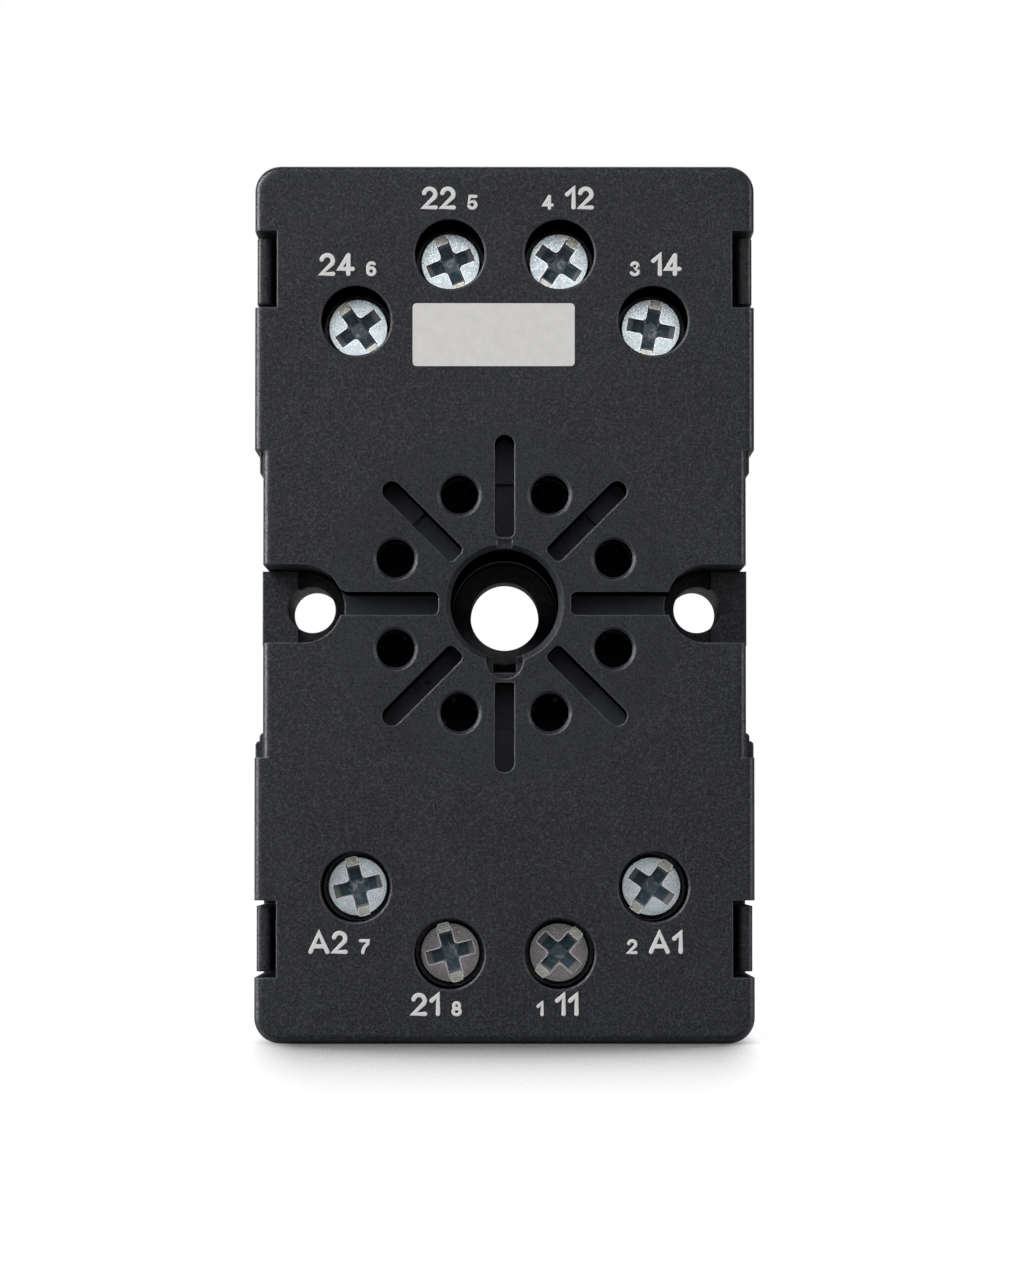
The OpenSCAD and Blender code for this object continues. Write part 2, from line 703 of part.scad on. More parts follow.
module rail_catch() {
    nose_t = 0.9;
    pry_w = 4.8;
    pry_z = catch_low_z + 1.2;
    pry_l = 1.5;
    grip_r = 0.35;
    grip_pitch = 1.4;
    color([0.1, 0.1, 0.11]) upright() difference() {
        union() {
            along_x(-catch_w / 2, catch_w / 2) polygon([[catch_low_z, catch_s0], [nose_root_z, catch_s0],
                [nose_z, hook_s - nose_t], [nose_z, hook_s], [nose_root_z, hook_s], [nose_root_z, catch_s1],
                [catch_low_z, catch_s1]]);
            slab(wing_s0, catch_s1)
                rect(-catch_w / 2 - wing_l, catch_w / 2 + wing_l, catch_low_z + 1, wing_stop_z);
            slab(catch_s1 - over, spring_s + spring_d / 2) rect(-spring_d / 2, spring_d / 2, lug_z, lug_z + lug_t);
        }
        // slot for a screwdriver's blade
        slab(-foot_d - over, over) rect(-pry_w / 2, pry_w / 2, pry_z, pry_z + pry_l);
        // three grip grooves across the rear face
        for (i = [1:3]) along_x(-catch_w, catch_w)
            translate([pry_z + pry_l + 0.4 + grip_pitch * i, catch_s0]) circle(grip_r);
    }
}

// Ring of points round the wire at one place along the coil.
function coil_ring(angle, z, n) = [for (i = [0:n - 1])
    let (c = 360 * i / n, r = (spring_d - wire_d) / 2 + wire_d / 2 * cos(c))
    [r * cos(angle), r * sin(angle), z + wire_d / 2 * sin(c)]];

module catch_spring() {
    n = 8;
    per_turn = 14;
    rings = round(spring_turns * per_turn);
    z0 = spring_low_z + wire_d / 2 + fit / 2;
    rise = lug_z - wire_d / 2 - fit / 2 - z0;
    points = [for (j = [0:rings]) each coil_ring(360 * j / per_turn, z0 + rise * j / rings, n)];
    sides = [for (j = [0:rings - 1], i = [0:n - 1])
        [j * n + i, (j + 1) * n + i, (j + 1) * n + (i + 1) % n, j * n + (i + 1) % n]];
    caps = [[for (i = [0:n - 1]) i], [for (i = [0:n - 1]) rings * n + n - 1 - i]];
    color([0.7, 0.71, 0.73]) upright() translate([0, 0, spring_s]) rotate([-90, 0, 0])
        polyhedron(points, concat(sides, caps));
}

// ---- contacts, clamp plates and screws ----

module contact(k) {
    top = face_s - sleeve_below;
    bore_r = sleeve_bore_d / 2;
    lead = 2.5;
    flare = 0.1; // how much wider the lead-in grows along its length
    color([0.78, 0.66, 0.36]) upright() difference() {
        union() {
            slab(part_s, strip_top_s) contact_plan(k, 0);
            translate([term_x(k), term_z(k), part_s - collar_h]) cylinder(collar_h + strip_t, d = collar_d);
            translate(pin_at(k)) slab(part_s, top) circle(d = sleeve_d);
        }
        translate([term_x(k), term_z(k), 0]) cylinder(face_s, d = thread_d + 2 * thread_fit);
        translate(pin_at(k)) {
            rotate_extrude() polygon([[0, 0], [bore_r, 0], [bore_r, top - lead],
                [bore_r + flare * (lead + over), top + over], [0, top + over]]);
            for (a = [0, 90]) rotate(pin_angle(k) + 45 + a)
                slab(strip_top_s + 1.2, top + over) square([sleeve_d + over, slit_w], center = true);
        }
    }
}

module clamp_plate(k) {
    w = clamp_w / 2;
    grip_r = 0.25;
    color([0.72, 0.73, 0.76]) upright() translate([term_x(k), term_z(k), clamp_top_s]) difference() {
        along_z(-clamp_l / 2, clamp_l / 2) {
            rect(-w, w, -clamp_t, 0);
            for (x = [-w, w - lip_t]) rect(x, x + lip_t, -clamp_t - lip_h, 0);
        }
        translate([0, 0, -over]) cylinder(2 * over, d = thread_d + 2 * fit);
        // a groove across the gripping face on each side of the screw
        for (side = [-1, 1]) along_x(-w + lip_t + fit, w - lip_t - fit)
            translate([side * (thread_d + clamp_l) / 4, -clamp_t]) circle(grip_r);
    }
}

module terminal_screw(k) {
    r = head_d / 2;
    edge = 0.12;
    tip = 0.4;
    shank_r = thread_d / 2 - thread_fit;
    color([0.75, 0.78, 0.82]) upright() translate([term_x(k), term_z(k), clamp_top_s]) rotate(SCREW_TURN[k - 1])
        difference() {
            rotate_extrude() {
                polygon([[0, -shank_l], [shank_r - tip, -shank_l], [shank_r, -shank_l + tip], [shank_r, 0],
                    [r, 0], [r, head_h - edge], [r - edge, head_h], [0, head_h]]);
                translate([r - edge, head_h - edge]) circle(edge);
            }
            slab(head_h - drive_slot_d, head_h + over) rect(-drive_w / 2, drive_w / 2, -head_d, head_d);
            for (a = [0, 90]) rotate(a) cross_wing();
            slab(head_h - cross_wing_d, head_h + over) for (a = [0:90:270]) rotate(a) cross_fillet();
        }
}

// One pair of wings of the cross recess, with leaning ends and a floor that falls to the middle.
module cross_wing() {
    lean = 0.4;
    top = cross_span / 2;
    translate([-cross_w / 2, 0, 0]) along_x(0, cross_w) polygon([[-top, head_h + over], [-top, head_h],
        [-top + lean, head_h - cross_wing_d], [-cross_w / 2, head_h - cross_d],
        [cross_w / 2, head_h - cross_d], [top - lean, head_h - cross_wing_d],
        [top, head_h], [top, head_h + over]]);
}

// Rounds off the corner between two wings.
module cross_fillet() {
    c = cross_w / 2;
    f = cross_fillet_r;
    difference() {
        rect(0, c + f, 0, c + f);
        translate([c + f, c + f]) circle(f);
    }
}

front_cover();
rear_base();
rail_catch();
catch_spring();
contact(1);  // contact_1
contact(2);  // contact_2
contact(3);  // contact_3
contact(4);  // contact_4
contact(5);  // contact_5
contact(6);  // contact_6
contact(7);  // contact_7
contact(8);  // contact_8
clamp_plate(1);  // clamp_plate_1
clamp_plate(2);  // clamp_plate_2
clamp_plate(3);  // clamp_plate_3
clamp_plate(4);  // clamp_plate_4
clamp_plate(5);  // clamp_plate_5
clamp_plate(6);  // clamp_plate_6
clamp_plate(7);  // clamp_plate_7
clamp_plate(8);  // clamp_plate_8
terminal_screw(1);  // terminal_screw_1
terminal_screw(2);  // terminal_screw_2
terminal_screw(3);  // terminal_screw_3
terminal_screw(4);  // terminal_screw_4
terminal_screw(5);  // terminal_screw_5
terminal_screw(6);  // terminal_screw_6
terminal_screw(7);  // terminal_screw_7
terminal_screw(8);  // terminal_screw_8
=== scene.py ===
"""Finishes, terminal marks, light and camera for a plug-in relay socket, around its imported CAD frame."""
import math

import bmesh
import bpy
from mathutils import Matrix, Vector


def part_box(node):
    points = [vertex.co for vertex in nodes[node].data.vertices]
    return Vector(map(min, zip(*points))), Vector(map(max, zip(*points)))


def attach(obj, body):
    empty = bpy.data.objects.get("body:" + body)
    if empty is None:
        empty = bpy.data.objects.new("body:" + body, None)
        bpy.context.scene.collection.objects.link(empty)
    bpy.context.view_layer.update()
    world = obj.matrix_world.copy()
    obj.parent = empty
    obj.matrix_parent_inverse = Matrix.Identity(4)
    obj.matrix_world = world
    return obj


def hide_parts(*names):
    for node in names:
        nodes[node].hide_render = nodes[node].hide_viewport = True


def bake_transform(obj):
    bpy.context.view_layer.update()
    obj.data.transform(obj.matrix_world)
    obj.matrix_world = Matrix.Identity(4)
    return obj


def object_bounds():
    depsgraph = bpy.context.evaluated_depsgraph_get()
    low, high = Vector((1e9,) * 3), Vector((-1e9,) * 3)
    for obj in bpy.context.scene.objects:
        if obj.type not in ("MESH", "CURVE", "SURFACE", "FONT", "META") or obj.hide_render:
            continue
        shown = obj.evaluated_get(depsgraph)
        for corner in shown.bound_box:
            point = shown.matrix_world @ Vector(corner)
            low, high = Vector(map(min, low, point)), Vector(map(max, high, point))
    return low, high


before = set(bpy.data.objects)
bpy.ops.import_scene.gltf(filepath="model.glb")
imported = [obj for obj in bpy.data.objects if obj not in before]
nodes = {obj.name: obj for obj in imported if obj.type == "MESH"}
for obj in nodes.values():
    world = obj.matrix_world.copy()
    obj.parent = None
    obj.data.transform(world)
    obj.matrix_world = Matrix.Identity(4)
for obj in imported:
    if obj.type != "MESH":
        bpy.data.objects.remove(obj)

cad_low, cad_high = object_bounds()

MM = 0.001
PINS = range(1, 9)
face_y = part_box("front_cover")[0].y
floor_z = cad_low.z
# The same in millimetres, as the materials and the marks use them.
FACE, REAR = face_y / MM, cad_high.y / MM
HALF_W, HALF_H = (cad_high.x - cad_low.x) / 2 / MM, (cad_high.z - cad_low.z) / 2 / MM


def middle(node):
    low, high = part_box(node)
    return (low + high) / 2


# ---------------------------------------------------------------- materials


class Finish:
    """A node material with a Principled shader, drawn in millimetres of the piece's own space."""

    def __init__(self, name, color, roughness, metallic=0.0):
        self.material = bpy.data.materials.new(name)
        self.material.use_nodes = True
        self.tree = self.material.node_tree
        self.shader = self.tree.nodes["Principled BSDF"]
        self.shader.inputs["Base Color"].default_value = (*color, 1)
        self.shader.inputs["Roughness"].default_value = roughness
        self.shader.inputs["Metallic"].default_value = metallic
        coordinates = self.tree.nodes.new("ShaderNodeTexCoord")
        scaled = self.tree.nodes.new("ShaderNodeVectorMath")
        scaled.operation = "SCALE"
        scaled.inputs["Scale"].default_value = 1 / MM
        self.link(coordinates.outputs["Object"], scaled.inputs[0])
        self.place = scaled.outputs[0]

    def link(self, start, end):
        self.tree.links.new(start, end)

    def put(self, node, socket, value):
        """Sets a socket, or links it where the value is another node's output."""
        if isinstance(value, bpy.types.NodeSocket):
            self.link(value, node.inputs[socket])
        else:
            node.inputs[socket].default_value = value

    def math(self, operation, a, b=0.0, clamp=False):
        node = self.tree.nodes.new("ShaderNodeMath")
        node.operation = operation
        node.use_clamp = clamp
        self.put(node, 0, a)
        self.put(node, 1, b)
        return node.outputs[0]

    def noise(self, per_mm, detail=3.0, roughness=0.5, distortion=0.0, shift=0.0):
        """Noise of about that many bumps to a millimetre."""
        place = self.tree.nodes.new("ShaderNodeMapping")
        place.inputs["Location"].default_value = (shift, shift * 0.7, -shift)
        self.link(self.place, place.inputs["Vector"])
        node = self.tree.nodes.new("ShaderNodeTexNoise")
        self.link(place.outputs[0], node.inputs["Vector"])
        node.inputs["Scale"].default_value = per_mm
        node.inputs["Detail"].default_value = detail
        node.inputs["Roughness"].default_value = roughness
        node.inputs["Distortion"].default_value = distortion
        return node.outputs["Fac"]

    def ramp(self, value, low, high, start=0.0, end=1.0):
        """Runs smoothly from start to end as the value goes from low to high."""
        node = self.tree.nodes.new("ShaderNodeMapRange")
        node.interpolation_type = "SMOOTHSTEP"
        self.put(node, "Value", value)
        self.put(node, "From Min", low)
        self.put(node, "From Max", high)
        node.inputs["To Min"].default_value = start
        node.inputs["To Max"].default_value = end
        return node.outputs["Result"]

    def mix(self, factor, a, b):
        node = self.tree.nodes.new("ShaderNodeMix")
        node.data_type = "RGBA"
        self.put(node, 0, factor)
        for socket, value in ((6, a), (7, b)):
            self.put(node, socket, value if isinstance(value, bpy.types.NodeSocket) else (*value, 1))
        return node.outputs[2]

    def scratches(self, per_mm, width, share, shift):
        """Short curved hairlines: contour lines of one noise, kept where another is high."""
        lines = self.math("ABSOLUTE", self.math("SUBTRACT", self.noise(per_mm, 2.0, shift=shift), 0.5))
        thin = self.ramp(lines, 0.0, width, 1.0, 0.0)
        kept = self.ramp(self.noise(per_mm * 1.6, 2.0, shift=shift + 37), 1 - share, 1.04 - share)
        return self.times(thin, kept)

    def edges(self, radius):
        """1 on the edges of the shape and 0 on its flats."""
        bevel = self.tree.nodes.new("ShaderNodeBevel")
        bevel.samples = 6
        bevel.inputs["Radius"].default_value = radius * MM
        geometry = self.tree.nodes.new("ShaderNodeNewGeometry")
        dot = self.tree.nodes.new("ShaderNodeVectorMath")
        dot.operation = "DOT_PRODUCT"
        self.link(bevel.outputs[0], dot.inputs[0])
        self.link(geometry.outputs["Normal"], dot.inputs[1])
        return self.ramp(dot.outputs["Value"], 0.86, 0.99, 1.0, 0.0), bevel.outputs[0]

    def frontward(self):
        """1 where the surface faces front or back, and 0 on the sides and on the walls of holes."""
        geometry = self.tree.nodes.new("ShaderNodeNewGeometry")
        parts = self.tree.nodes.new("ShaderNodeSeparateXYZ")
        self.link(geometry.outputs["Normal"], parts.inputs[0])
        return self.math("ABSOLUTE", parts.outputs[1])

    def openness(self, distance, samples):
        """1 in the open and 0 deep in a corner, from all that lies within the distance, in mm."""
        node = self.tree.nodes.new("ShaderNodeAmbientOcclusion")
        node.samples = samples
        node.inputs["Distance"].default_value = distance * MM
        return node.outputs["AO"]

    def along(self, axis):
        """The place along X, Y or Z, in mm."""
        parts = self.tree.nodes.new("ShaderNodeSeparateXYZ")
        self.link(self.place, parts.inputs[0])
        return parts.outputs[axis]

    def from_axis(self, x=0.0, z=0.0):
        """Distance from an axis that runs from front to back, in mm."""
        across = self.math("SUBTRACT", self.along(0), x)
        up = self.math("SUBTRACT", self.along(2), z)
        return self.math("SQRT", self.math("ADD", self.times(across, across), self.times(up, up)))

    def times(self, first, *others):
        for other in others:
            first = self.math("MULTIPLY", first, other)
        return first

    def plate(self, color, roughness, shift, edge_width=0.05, edge_highlight_tone=None):
        """Stains, grain, and edges painted lighter on plated metal, partly as worn plating and partly as
        painted highlight. Edges with a highlight tone of their own stay sharp.
        """
        stain = self.ramp(self.noise(0.9, 4.0, 0.6, shift=shift), 0.3, 0.7)
        grain = self.ramp(self.noise(9.0, 3.0, 0.7, shift=shift + 7), 0.3, 0.7)
        shades = []
        for share in (0.84, 1.1, 0.7, 1.7):
            scaled = self.tree.nodes.new("ShaderNodeVectorMath")
            scaled.operation = "SCALE"
            self.put(scaled, 0, color)
            scaled.inputs["Scale"].default_value = share
            shades.append(scaled.outputs[0])
        tone = self.mix(stain, shades[0], shades[1])
        tone = self.mix(self.times(grain, 0.4), tone, shades[2])
        edge, rounded = self.edges(edge_width)
        # Painted highlight: the edges take a lighter tone, partly as worn plating and partly as painted
        # highlight.
        tone = self.mix(edge, tone, edge_highlight_tone or shades[3])
        self.link(tone, self.shader.inputs["Base Color"])
        sheen = self.ramp(grain, 0, 1, roughness - 0.06, roughness + 0.1)
        self.link(sheen, self.shader.inputs["Roughness"])
        normal = None if edge_highlight_tone else rounded
        self.bump([(self.noise(12.0, 3.0, 0.6, shift=shift + 13), 0.005), (stain, 0.004)], normal)

    def bump(self, layers, normal=None):
        """Bump from several (height, depth in mm) layers, one on top of the other."""
        for height, depth in layers:
            node = self.tree.nodes.new("ShaderNodeBump")
            node.inputs["Distance"].default_value = depth * MM
            self.link(height, node.inputs["Height"])
            if normal is not None:
                self.link(normal, node.inputs["Normal"])
            normal = node.outputs[0]
        self.link(normal, self.shader.inputs["Normal"])


def tint(color, share):
    return tuple(min(1.0, c * share) for c in color)


def moulded_plastic(name, color, shift, wear_and_highlight=0.5, ring=0):
    """Blue-black moulded plastic: soft clouds, fine curled hairlines, a few pale specks, and polished edges
    painted lighter, partly as worn plastic and partly as painted highlight. The walls of hollows get
    painted shade, and the slot floors painted light.

    Within the ring, about the guide hole's axis, the tool left a smoother and slightly paler disc."""
    finish = Finish(name, color, 0.5)
    clouds = finish.ramp(finish.noise(0.13, 4.0, 0.6, shift=shift), 0.3, 0.7)
    grain = finish.ramp(finish.noise(7.0, 3.0, 0.7, shift=shift + 5), 0.3, 0.7)
    hairs = finish.math("ADD", finish.scratches(2.1, 0.06, 0.5, shift + 17),
                        finish.scratches(3.6, 0.1, 0.5, shift + 29), clamp=True)
    specks = finish.ramp(finish.noise(5.0, 2.0, 0.6, shift=shift + 11), 0.67, 0.73)
    tone = finish.mix(clouds, tint(color, 0.75), tint(color, 1.2))
    away = finish.from_axis()
    inside = finish.ramp(away, ring - 0.1, ring + 0.1, 1, 0)
    if ring:
        swirl = finish.ramp(finish.noise(0.35, 3.0, 0.5, 1.5, shift=shift + 71), 0.35, 0.65)
        tone = finish.mix(finish.times(inside, finish.ramp(swirl, 0, 1, 0.1, 0.4)), tone, tint(color, 1.6))
        hairs = finish.times(hairs, finish.ramp(inside, 0, 1, 1, 0.5))
        specks = finish.times(specks, finish.ramp(inside, 0, 1, 1, 0.5))
        witness = finish.ramp(finish.math("ABSOLUTE", finish.math("SUBTRACT", away, ring)), 0.0, 0.07, 1, 0)
        broken = finish.ramp(finish.noise(0.22, 2.0, shift=shift + 83), 0.45, 0.6)
        hairs = finish.math("ADD", hairs, finish.times(witness, broken, 0.6), clamp=True)
    creases = finish.scratches(3.4, 0.1, 0.5, shift + 97)
    tone = finish.mix(finish.times(grain, 0.4), tone, tint(color, 1.8))
    tone = finish.mix(finish.times(specks, 0.5), tone, tint(color, 6.0))
    tone = finish.mix(finish.times(creases, 0.5), tone, tint(color, 0.3))
    tone = finish.mix(finish.times(hairs, 0.4), tone, tint(color, 4.5))
    edge, rounded = finish.edges(0.2)
    front = finish.frontward()
    turned = finish.times(finish.ramp(front, 0.2, 0.4), finish.ramp(front, 0.85, 0.96, 1, 0),
                          finish.ramp(away, GUIDE_RIM, GUIDE_RIM + 0.2))
    polished = finish.math("MAXIMUM", edge, turned)
    rubs = finish.ramp(finish.noise(0.9, 4.0, 0.65, shift=shift + 41), 0.35, 0.65, 0.35, 1)
    # Painted highlight: the edges are painted far lighter, partly as worn plastic and partly as painted
    # highlight.
    rubbed_and_highlit = finish.times(edge, rubs)
    tone = finish.mix(finish.times(rubbed_and_highlit, wear_and_highlight), tone, tint(color, 14.0))
    shine = finish.ramp(polished, 0, 1, 0.3, 0.7)
    marks = finish.math("SUBTRACT", finish.times(hairs, 0.12), finish.times(creases, 0.12))
    shine = finish.math("ADD", shine, marks)
    # Painted shade: the walls of the holes and slots, and all that lies round the screws, are painted near
    # black, and the guide hole below its first millimetre nearly so.
    wide, tall = finish.math("ABSOLUTE", finish.along(0)), finish.math("ABSOLUTE", finish.along(2))
    ears_apart = finish.math("MAXIMUM", finish.ramp(tall, EAR_HALF - 0.3, EAR_HALF + 0.3), inside)
    depth = finish.math("SUBTRACT", finish.along(1), FACE)
    within = finish.times(finish.ramp(wide, HALF_W - WALL - 0.2, HALF_W - WALL + 0.2, 1, 0),
                          finish.ramp(tall, HALF_H - WALL - 0.2, HALF_H - WALL + 0.2, 1, 0),
                          ears_apart, finish.ramp(depth, 0.08, 0.2),
                          finish.ramp(depth, COVER_DEPTH, COVER_DEPTH + 1, 1, 0))
    wall = finish.math("MAXIMUM", finish.ramp(front, 0.25, 0.45, 1, 0), finish.ramp(inside, 0, 1, 1, 0))
    bore_shade = finish.times(finish.ramp(away, GUIDE_RIM, GUIDE_RIM + 0.1, 1, 0),
                        finish.ramp(depth, 0.5, 1.0), 0.8)
    hollow_shade = finish.math("MAXIMUM", finish.times(wall, within), bore_shade)
    if ring:
        # Painted light: the floors of the slots are painted paler, as though light reached them.
        floor = finish.times(inside, finish.ramp(depth, 2.0, 3.0), finish.ramp(front, 0.6, 0.8))
        tone = finish.mix(floor, tone, tint(color, 5.5))
    tone = finish.mix(finish.times(hollow_shade, 0.92), tone, (0, 0, 0))
    shine = finish.times(shine, finish.ramp(hollow_shade, 0, 1, 1, 0))
    finish.link(tone, finish.shader.inputs["Base Color"])
    finish.link(shine, finish.shader.inputs["Specular IOR Level"])
    sheen = finish.ramp(finish.noise(1.7, 4.0, 0.6, shift=shift + 53), 0.25, 0.75, 0.44, 0.58)
    sheen = finish.math("SUBTRACT", sheen, finish.times(polished, 0.2))
    finish.link(sheen, finish.shader.inputs["Roughness"])
    texture = finish.noise(6.0, 3.0, 0.65, shift=shift + 61)
    finish.bump([(texture, 0.014), (hairs, 0.008), (creases, -0.008)], rounded)
    return finish.material


def plated_metal(name, color, roughness, shift):
    """Plated metal with faint stains, a fine grain, edges painted lighter as partly worn plating and partly
    painted highlight, and painted shade near other pieces.
    """
    finish = Finish(name, color, roughness, 1.0)
    # Painted shade: the metal is painted nearly black where other pieces close in round it.
    recess_shade = finish.ramp(finish.openness(3.0, 4), 0.35, 0.9, 0.85, 0)
    finish.plate(finish.mix(recess_shade, color, tint(color, 0.05)), roughness, shift)
    return finish.material


def screw_metal(name, node, color, shift):
    """Zinc plate with edges painted white as highlights, and white glints painted on the steep walls at the
    tips of the cross. The straight slot's floor is tan, and the cross below it is painted blue-grey as
    shade, with lighter highlight lines towards its middle.
    """
    finish = Finish(name, color, 0.3, 1.0)
    axis = middle(node) / MM
    depth = finish.math("SUBTRACT", finish.along(1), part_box(node)[0].y / MM)
    away = finish.from_axis(axis.x, axis.z)
    head = finish.ramp(depth, 1.5, 1.9, 1, 0)
    level = finish.ramp(finish.frontward(), 0.75, 0.9)
    slot = finish.times(finish.ramp(depth, 0.3, 0.5), head)
    cross = finish.times(finish.ramp(depth, 0.6, 0.8), head, finish.ramp(away, 1.85, 1.95, 1, 0))
    # Painted glints: the steep walls at the tips of the cross are painted white and lose their metal.
    end_glints = finish.times(finish.ramp(level, 0, 1, 1, 0), finish.ramp(away, 1.35, 1.5),
                        finish.ramp(away, 1.95, 2.1, 1, 0), finish.ramp(depth, 0.05, 0.15), head)
    # Painted highlight: lighter lines towards the middle of the cross.
    highlight_streaks = finish.times(finish.ramp(finish.noise(1.3, 3.0, 0.5, 1.6, shift=shift + 3), 0.5, 0.66),
                           finish.ramp(away, 0.3, 1.4, 0.9, 0))
    # Painted shade: the cross is coloured blue-grey for the shade in it.
    slate_shade = finish.mix(highlight_streaks, (0.15, 0.24, 0.30), (0.75, 0.85, 0.88))
    tone = finish.mix(slot, color, (0.62, 0.615, 0.56))
    tone = finish.mix(cross, tone, slate_shade)
    tone = finish.mix(end_glints, tone, (1.0, 1.0, 1.0))
    # Painted highlight: the screw's edges are painted white.
    finish.plate(tone, 0.3, shift, 0.2, (1.0, 1.0, 1.0))
    dull = finish.math("MAXIMUM", finish.times(cross, 0.9), end_glints)
    finish.link(finish.ramp(dull, 0, 1, 1, 0), finish.shader.inputs["Metallic"])
    return finish.material


def printed_ink(name, color):
    """Light grey pad-printed ink with a soft mottle and a few scuffs."""
    finish = Finish(name, color, 0.55)
    mottle = finish.ramp(finish.noise(1.2, 4.0, 0.6), 0.3, 0.7)
    tone = finish.mix(mottle, tint(color, 0.96), tint(color, 1.03))
    scuffs = finish.scratches(0.5, 0.004, 0.4, 71)
    tone = finish.mix(finish.times(scuffs, 0.35), tone, tint(color, 0.72))
    finish.link(tone, finish.shader.inputs["Base Color"])
    finish.link(finish.ramp(mottle, 0, 1, 0.5, 0.62), finish.shader.inputs["Roughness"])
    edge, rounded = finish.edges(0.03)
    finish.bump([(finish.noise(9.0, 3.0, shift=3), 0.004)], rounded)
    return finish.material


def dress(node, material):
    node.data.materials.clear()
    node.data.materials.append(material)


# All in mm.
WITNESS_RING = 13.3            # radius of the tool's mark round the relay seat
GUIDE_RIM = 4.5                # radius of the guide hole with its chamfer
EAR_HALF = 3.5                 # half the height of an ear recess, with its rim
WALL = 1.8                     # thickness of the cover's outer wall
COVER_DEPTH = 11
cover_plastic = moulded_plastic("cover_plastic", (0.0125, 0.0136, 0.0170), 3, ring=WITNESS_RING)
base_plastic = moulded_plastic("base_plastic", (0.0112, 0.0123, 0.0152), 101)
catch_plastic = moulded_plastic("catch_plastic", (0.0095, 0.010, 0.0125), 211)
print_grey = printed_ink("print_grey", (0.75, 0.74, 0.73))
# The contacts' plating is given a grey far darker than its own, as painted shade for the deep pin holes
# they sit in.
contact_brass = plated_metal("contact_brass", (0.22, 0.215, 0.205), 0.2, 5)
clamp_steel = plated_metal("clamp_steel", (0.50, 0.53, 0.56), 0.34, 23)
spring_steel = plated_metal("spring_steel", (0.55, 0.55, 0.57), 0.3, 31)
# The two lowest screws are the greyest, and the pair above them is a little duller than the upper four.
BRIGHT_ZINC, MIDDLE_ZINC, DULL_ZINC = (0.66, 0.74, 0.78), (0.68, 0.76, 0.80), (0.29, 0.27, 0.285)
ZINC = {1: DULL_ZINC, 8: DULL_ZINC, 2: MIDDLE_ZINC, 7: MIDDLE_ZINC}

dress(nodes["front_cover"], cover_plastic)
dress(nodes["rear_base"], base_plastic)
dress(nodes["rail_catch"], catch_plastic)
for k in PINS:
    dress(nodes[f"contact_{k}"], contact_brass)
    dress(nodes[f"clamp_plate_{k}"], clamp_steel)
    screw = f"terminal_screw_{k}"
    dress(nodes[screw], screw_metal(f"screw_zinc_{k}", screw, ZINC.get(k, BRIGHT_ZINC), 43 + 9 * k))


# ---------------------------------------------------------------- terminal marks


def arc(x, z, across, up, start, end, count=14):
    """Points on an ellipse from one angle to another, in degrees anticlockwise from the right."""
    turns = [math.radians(start + (end - start) * i / count) for i in range(count + 1)]
    return [Vector((x + across * math.cos(t), z + up * math.sin(t))) for t in turns]


def line(*points):
    return [Vector(p) for p in points]


# Each sign is a list of strokes along their centre lines, on a height of 1; a True stroke is a closed ring.
LOW, TOP = 0.09, 0.91
SIGNS = {
    "1": [(line((0.09, 0.66), (0.37, TOP), (0.37, LOW)), False)],
    "2": [(arc(0.34, 0.665, 0.245, 0.245, 168, -32) + line((0.09, LOW), (0.60, LOW)), False)],
    "3": [(arc(0.33, 0.70, 0.215, 0.21, 158, -72, 12) + arc(0.33, 0.305, 0.245, 0.215, 78, -158), False)],
    "4": [(line((0.47, TOP), (0.09, 0.31), (0.66, 0.31)), False), (line((0.47, TOP), (0.47, LOW)), False)],
    "5": [(line((0.58, TOP), (0.19, TOP), (0.12, 0.49))
           + arc(0.335, 0.335, 0.25, 0.245, 128, -155), False)],
    "6": [(arc(0.335, 0.325, 0.24, 0.235, 0, 360, 24)[:-1], True),
          (arc(0.36, 0.60, 0.265, 0.31, 48, 180, 12) + line((0.095, 0.36)), False)],
    "7": [(line((0.09, TOP), (0.61, TOP)) + arc(1.1, 0.05, 0.86, 0.80, 127, 177, 8), False)],
    "8": [(arc(0.34, 0.705, 0.20, 0.205, 0, 360, 24)[:-1], True),
          (arc(0.34, 0.305, 0.245, 0.215, 0, 360, 24)[:-1], True)],
    "A": [(line((0.09, LOW), (0.455, TOP), (0.82, LOW)), False), (line((0.22, 0.33), (0.69, 0.33)), False)],
}
SIGN_WIDTH = {"1": 0.46, "2": 0.69, "3": 0.67, "4": 0.75, "5": 0.68,
              "6": 0.68, "7": 0.71, "8": 0.68, "A": 0.91}
SIGN_GAP = 0.10


def outline(path, half, ring):
    """Points of a stroke's edge, half its width away from the path. Returns one loop, or two for a ring."""
    count = len(path)
    left, right = [], []
    for i, p in enumerate(path):
        before = path[i - 1] if i or ring else p
        after = path[(i + 1) % count] if i < count - 1 or ring else p
        sides = [Vector((-(d.y), d.x)).normalized() for d in (p - before, after - p) if d.length > 0]
        side = sum(sides, Vector((0, 0))).normalized()
        reach = half / max(side.dot(sides[0]), 0.55)
        left.append(p + side * reach)
        right.append(p - side * reach)
    if ring:
        return [left, right]
    caps = []
    for tip, inner in ((path[-1], path[-2]), (path[0], path[1])):
        heading = math.atan2((tip - inner).y, (tip - inner).x)
        turns = [heading - math.pi / 2 + math.pi * (i + 1) / 7 for i in range(6)]
        caps.append([tip + Vector((math.cos(t), math.sin(t))) * half for t in turns])
    return [right + caps[0] + left[::-1] + caps[1]]


